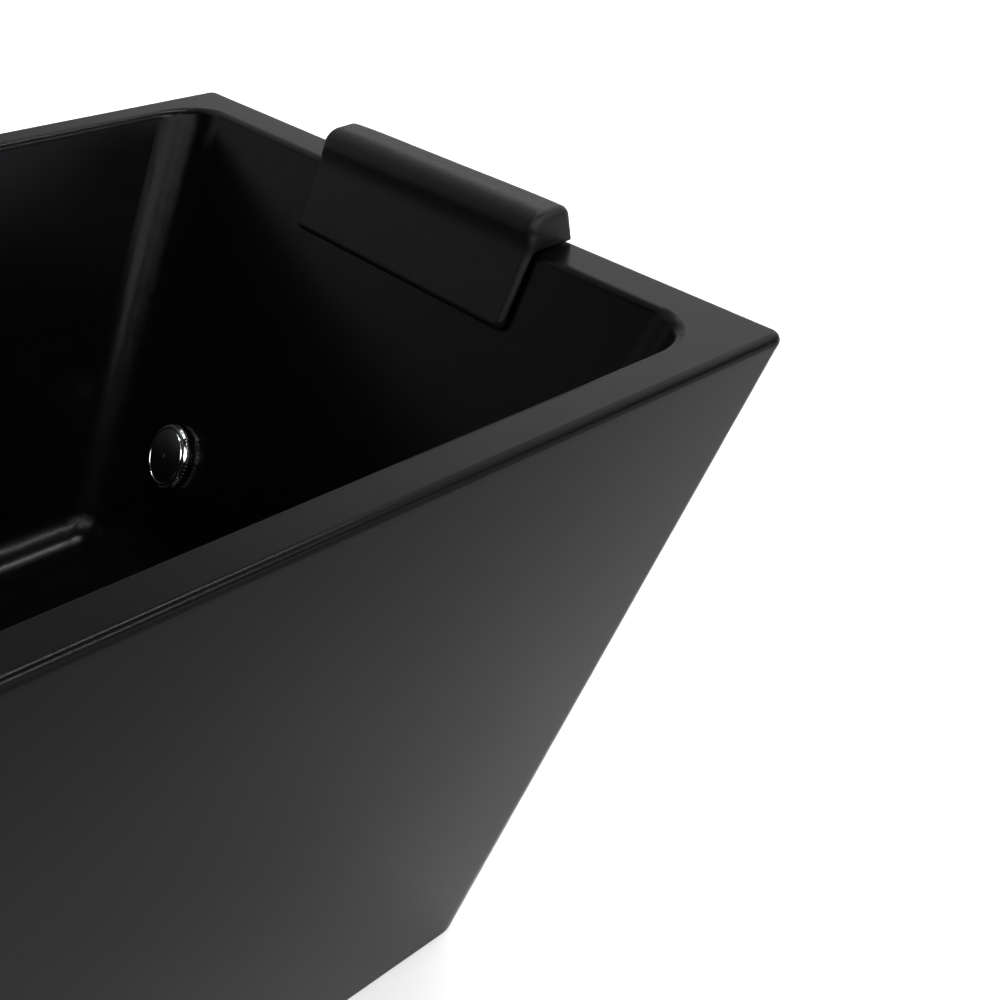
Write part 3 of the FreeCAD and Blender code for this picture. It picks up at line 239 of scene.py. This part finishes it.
def rounded_outline(corners, arc_step=7.0, run_step=0.0022):
    """Points round a closed outline, from corners given as (point, radius, softness).

    The radius rounds the outline there. The softness goes with each point, and rounds the ends over.
    """
    points = []
    count = len(corners)
    arcs = []
    for i, (corner, radius, softness) in enumerate(corners):
        back = (corners[i - 1][0] - corner).normalized()
        on = (corners[(i + 1) % count][0] - corner).normalized()
        half_turn = (math.pi - back.angle(on)) / 2
        reach = radius * math.tan(half_turn)
        middle = (back + on).normalized()
        centre = corner + middle * (radius / math.cos(half_turn))
        start, end = corner + back * reach - centre, corner + on * reach - centre
        steps = max(2, round(math.degrees(2 * half_turn) / arc_step))
        start, end = start.normalized(), end.normalized()
        arcs.append(([centre + start.slerp(end, k / steps) * radius for k in range(steps + 1)], softness))
    for i, (arc, softness) in enumerate(arcs):
        after, after_softness = arcs[(i + 1) % count]
        points += [(p, softness) for p in arc]
        run = after[0] - arc[-1]
        steps = max(1, round(run.length / run_step))
        for k in range(1, steps):
            share = k / steps
            points.append((arc[-1] + run * share, softness + (after_softness - softness) * share))
    return points


def end_stations(y0, y1, rounding, ring_step=0.006, ring_count=9):
    """Places along Y, close together where the ends round over."""
    near = [rounding * (1 - math.cos(math.pi / 2 * k / ring_count)) for k in range(ring_count + 1)]
    inner = y1 - y0 - 2 * rounding
    steps = round(inner / ring_step)
    middle = [rounding + inner * k / steps for k in range(1, steps)]
    return [y0 + d for d in near + middle] + [y1 - d for d in reversed(near)]


def give(distance, radius):
    """How far a rounded end draws in at that distance from its tip."""
    if distance >= radius:
        return 0.0
    return radius - math.sqrt(radius ** 2 - (radius - distance) ** 2)


PAD_MARGIN = 0.0003          # the pad keeps this far inside its CAD box
END_ROUNDING = 0.0095        # how far along Y each end of the pad rounds over
TIP_CORNER = 0.0075          # radius of the flap's two lower corners, seen square to the wall
CROWN = 0.0011               # how far the top drops at its ends
CROWN_REACH = 0.05
SKIN_INSET = 0.00022         # keeps the uneven skin inside the outline
RIPPLE = 0.00022
RIPPLE_SCALE = 22.0


def headrest_corners(back_x, top_z, under_z):
    """The pad's outline: a soft block on the rim that rolls over into a thin flap down the wall."""
    roll_x, roll_lean = WELL_EDGE_X - 0.0031, 0.15
    flap_drop = 0.0580
    proud, gap = 0.0084, 0.0021
    face = on_end_wall(0.0, proud)
    bend_z = (roll_x - roll_lean * top_z - face.x + END_SLOPE * face.z) / (END_SLOPE - roll_lean)
    bend_x = roll_x - roll_lean * (top_z - bend_z)
    inner = on_end_wall(0.0, gap)
    inner_x = inner.x + (under_z - inner.z) * END_SLOPE
    return [
        (Vector((back_x, 0.0, under_z)), 0.0020, 0.0018),
        (Vector((back_x, 0.0, top_z)), 0.0100, 0.0075),
        (Vector((roll_x, 0.0, top_z - 0.0004)), 0.0195, 0.0095),
        (Vector((bend_x, 0.0, bend_z)), 0.0340, 0.0060),
        (on_end_wall(flap_drop, proud), 0.0054, 0.0050),
        (on_end_wall(flap_drop, gap), 0.0006, 0.0008),
        (Vector((inner_x, 0.0, under_z)), 0.0095, 0.0012),
    ]


def inward_directions(outline):
    """For each point of the outline, the direction square to it and into the pad."""
    count = len(outline)
    inward = []
    for i in range(count):
        run = outline[(i + 1) % count][0] - outline[i - 1][0]
        inward.append(Vector((-run.z, 0.0, run.x)).normalized())
    middle = sum((p for p, _ in outline), Vector()) / count
    if sum((middle - p).dot(n) for (p, _), n in zip(outline, inward)) < 0:
        inward = [-n for n in inward]
    return inward


def headrest_ring(outline, inward, y, from_end):
    """The outline at that place along Y, drawn in where the end is near."""
    along_wall = Vector((END_OUT.z, 0.0, -END_OUT.x))
    crown = CROWN * (1 - min(1.0, from_end / CROWN_REACH)) ** 2
    ring = []
    for (p, softness), n in zip(outline, inward):
        drop = RIM_Z - p.z
        place = p + n * give(from_end, softness)
        place = place + along_wall * give(from_end, TIP_CORNER) * smooth(drop, 0.030, 0.052)
        place.z -= crown * smooth(p.z, RIM_Z + 0.015, RIM_Z + 0.030)
        place.y = y
        ripple = noise.noise(place * RIPPLE_SCALE) * RIPPLE
        ring.append(place + n * (SKIN_INSET + ripple))
    return ring


def joined_rings(ring_count, count):
    """Faces that join each ring of points to the next, and close both ends."""
    faces = []
    for j in range(ring_count - 1):
        for i in range(count):
            k = (i + 1) % count
            faces.append((j * count + i, j * count + k, (j + 1) * count + k, (j + 1) * count + i))
    faces.append(tuple(range(count)))
    last = (ring_count - 1) * count
    faces.append(tuple(range(last + count - 1, last - 1, -1)))
    return faces


def solid_mesh(name, points, faces):
    """A smooth-shaded mesh with all its faces turned outwards."""
    mesh = bpy.data.meshes.new(name)
    mesh.from_pydata(points, [], faces)
    turned = bmesh.new()
    turned.from_mesh(mesh)
    bmesh.ops.recalc_face_normals(turned, faces=turned.faces)
    turned.to_mesh(mesh)
    turned.free()
    mesh.shade_smooth()
    return mesh


def build_headrest():
    """The moulded foam pad, made from rings of its outline placed along Y."""
    low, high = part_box("headrest_pad")
    corners = headrest_corners(high.x - PAD_MARGIN, high.z - PAD_MARGIN, low_of_block())
    outline = rounded_outline(corners)
    inward = inward_directions(outline)
    y0, y1 = low.y + PAD_MARGIN, high.y - PAD_MARGIN
    stations = end_stations(y0, y1, END_ROUNDING)
    points = []
    for y in stations:
        points += headrest_ring(outline, inward, y, min(y - y0, y1 - y))
    mesh = solid_mesh("headrest_cushion", points, joined_rings(len(stations), len(outline)))
    mesh.materials.append(MATERIALS["headrest_foam"])
    cushion = bpy.data.objects.new("headrest_cushion", mesh)
    SCENE.collection.objects.link(cushion)
    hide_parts("headrest_pad")
    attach(cushion, "headrest")


def low_of_block():
    """The underside of the headrest's block, which stands on the two grips."""
    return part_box("headrest_grip_left")[1].z


def smooth(value, low, high):
    """0 to 1 as the value passes from low to high, with no corner at either."""
    share = min(1.0, max(0.0, (value - low) / (high - low)))
    return share * share * (3 - 2 * share)


# The studio.

WHITE = (1.0, 1.0, 1.0)
CAMERA_PLACE = Vector((0.2174, -0.8439, 0.9415))
CAMERA_HEADING = 40.118      # degrees from +Y towards +X
CAMERA_DOWN = 33.826         # degrees below the horizon
SENSOR_WIDTH = 36.0          # millimetres, as the lens is
LENS = 43.047


def add_camera():
    data = bpy.data.cameras.new("camera")
    data.sensor_width = SENSOR_WIDTH
    data.lens = LENS
    camera = bpy.data.objects.new("camera", data)
    camera.location = CAMERA_PLACE
    camera.rotation_euler = (math.radians(90.0 - CAMERA_DOWN), 0.0, math.radians(-CAMERA_HEADING))
    SCENE.collection.objects.link(camera)
    SCENE.camera = camera


def add_floor():
    """A pale sheet under the bath, wide enough to fill every view."""
    reach = 60.0
    mesh = bpy.data.meshes.new("studio_floor")
    corners = [(-reach, -reach, 0), (reach, -reach, 0), (reach, reach, 0), (-reach, reach, 0)]
    mesh.from_pydata(corners, [], [(0, 1, 2, 3)])
    floor = bpy.data.objects.new("studio_floor", mesh)
    g = Graph("pale_floor")
    g.constants(Roughness=0.9)
    colour = g.blend_colours(g.noise(2.0), (0.68, 0.68, 0.68), (0.70, 0.70, 0.70))
    mesh.materials.append(g.finish(colour))
    SCENE.collection.objects.link(floor)


class Sky(NodeTree):
    """The light around the bath, as soft panels placed by compass bearing and height above the horizon.

    A bearing is in degrees from +Y towards +X. Every panel's edges fade over its softness in degrees, and its
    two ends over side where that is given.
    """

    def __init__(self):
        self.world = bpy.data.worlds.new("studio_air")
        self.world.use_nodes = True
        super().__init__(self.world.node_tree)
        self.direction = self.node("TexCoord").outputs["Generated"]
        split = self.node("SeparateXYZ")
        self.join(self.direction, split.inputs["Vector"])
        self.height = self.math("ARCSINE", split.outputs["Z"])
        self.total = None

    def math(self, operation, *values):
        made = self.node("Math", operation=operation)
        for socket, value in zip(made.inputs, values):
            if isinstance(value, float):
                socket.default_value = value
            else:
                self.join(value, socket)
        return made.outputs["Value"]

    def ramp(self, value, none_at, all_at):
        """0 to 1 as the value passes from none_at to all_at, in degrees."""
        ranged = self.node("MapRange", interpolation_type="SMOOTHSTEP")
        ranged.inputs["From Min"].default_value = math.radians(none_at)
        ranged.inputs["From Max"].default_value = math.radians(all_at)
        self.join(value, ranged.inputs["Value"])
        return ranged.outputs["Result"]

    def along(self, axis):
        product = self.node("VectorMath", operation="DOT_PRODUCT")
        self.join(self.direction, product.inputs[0])
        product.inputs[1].default_value = axis
        return product.outputs["Value"]

    def add(self, amount, colour, strength):
        scaled = self.node("VectorMath", operation="SCALE")
        scaled.inputs[0].default_value = colour
        self.join(self.math("MULTIPLY", amount, float(strength)), scaled.inputs["Scale"])
        self.plus(scaled.outputs["Vector"])

    def plus(self, colour):
        if self.total is not None:
            both = self.node("VectorMath", operation="ADD")
            self.join(self.total, both.inputs[0])
            self.join(colour, both.inputs[1])
            colour = both.outputs["Vector"]
        self.total = colour

    def panel(self, bearing, half_width, bottom, top, softness, strength, side=None, colour=WHITE):
        turn = math.radians(bearing)
        ahead = self.along((math.sin(turn), math.cos(turn), 0.0))
        aside = self.along((math.cos(turn), -math.sin(turn), 0.0))
        off = self.math("ABSOLUTE", self.math("ARCTAN2", aside, ahead))
        side_fade, fade = (side or softness) / 2, softness / 2
        across = self.ramp(off, half_width + side_fade, half_width - side_fade)
        above = self.ramp(self.height, bottom - fade, bottom + fade)
        below = self.ramp(self.height, top + fade, top - fade)
        self.add(self.math("MULTIPLY", across, self.math("MULTIPLY", above, below)), colour, strength)

    def lamp(self, towards, radius, softness, strength, colour=WHITE):
        """A round lamp, from its direction and its angular radius."""
        off = self.math("ARCCOSINE", self.along(Vector(towards).normalized()))
        self.add(self.ramp(off, radius + softness, radius), colour, strength)

    def strip(self, tilt, half_width, low, high, strength):
        """A long tube lamp overhead, along the bath.

        The tilt is in degrees from upright towards +Y. low and high are how far the direction leans in X.
        """
        split = self.node("SeparateXYZ")
        self.join(self.direction, split.inputs["Vector"])
        tilted = self.math("ARCTAN2", split.outputs["Y"], split.outputs["Z"])
        off = self.math("ABSOLUTE", self.math("SUBTRACT", tilted, math.radians(tilt)))
        ends = self.math("ABSOLUTE", self.math("SUBTRACT", split.outputs["X"], (low + high) / 2))
        length = self.math("LESS_THAN", ends, (high - low) / 2)
        across = self.ramp(off, half_width + 0.8, half_width - 0.2)
        self.add(self.math("MULTIPLY", across, length), WHITE, strength)

    def light(self):
        background = self.tree.nodes["Background"]
        self.join(self.total, background.inputs["Color"])
        background.inputs["Strength"].default_value = 1.0
        SCENE.world = self.world


def add_sun(bearing, height, spread, strength):
    """A broad distant key light that brightens the floor, and isn't mirrored in the bath."""
    data = bpy.data.lights.new("key_light", "SUN")
    data.energy = strength
    data.angle = math.radians(spread)
    lamp = bpy.data.objects.new("key_light", data)
    lamp.rotation_euler = (math.radians(90.0 - height), 0.0, math.radians(180.0 - bearing))
    lamp.visible_glossy = False
    SCENE.collection.objects.link(lamp)


def add_area(place, size, power):
    """A soft box over the floor beside the bath, which isn't itself seen or mirrored."""
    data = bpy.data.lights.new("floor_light", "AREA")
    data.energy = power
    data.size = size
    lamp = bpy.data.objects.new("floor_light", data)
    lamp.location = place
    lamp.visible_camera = False
    lamp.visible_glossy = False
    SCENE.collection.objects.link(lamp)


def hang_sky():
    """The panels and lamps that the bath mirrors."""
    sky = Sky()
    # Low and high, ahead of the camera and to its right, then one low to its left.
    sky.panel(45.0, 80.0, -8.0, 22.0, 12.0, 0.29)
    sky.panel(87.0, 60.0, -8.0, 22.0, 12.0, 0.74, side=45.0)
    sky.panel(45.0, 80.0, 27.0, 62.0, 12.0, 0.85)
    sky.panel(92.0, 60.0, 24.0, 62.0, 12.0, 2.15, side=40.0)
    sky.panel(-45.0, 16.0, 10.0, 28.0, 10.0, 0.68)
    # Behind the camera, where the well's upright corner mirrors them.
    sky.panel(158.0, 12.0, -2.0, 14.0, 10.0, 3.4, colour=(0.94, 0.98, 1.06))
    sky.panel(190.0, 18.0, 6.0, 50.0, 8.0, 4.4)
    sky.panel(219.0, 13.0, 30.0, 56.0, 12.0, 5.2)
    sky.panel(245.0, 15.0, 36.0, 60.0, 12.0, 5.8)
    # A trace of light from everywhere.
    sky.panel(0.0, 181.0, -90.0, 91.0, 1.0, 0.008)
    # Overhead: two long tubes, which draw lines on the well's lower corner, and two small round lamps.
    sky.strip(7.0, 1.5, 0.0, 0.34, 60.0)
    sky.strip(-42.0, 1.2, 0.0, 0.34, 52.0)
    sky.lamp((0.008, 0.300, 0.953), 1.6, 1.2, 60.0)
    sky.lamp((-0.319, -0.418, 0.848), 1.6, 1.2, 60.0)
    sky.light()


def light_studio():
    hang_sky()
    add_sun(88.0, 50.0, 40.0, 0.28)
    add_area((2.2, 0.7, 1.9), 1.6, 15.0)
    add_area((2.0, 2.8, 2.2), 2.0, 20.0)


add_camera()
dress_cad_nodes()
build_headrest()
add_floor()
light_studio()
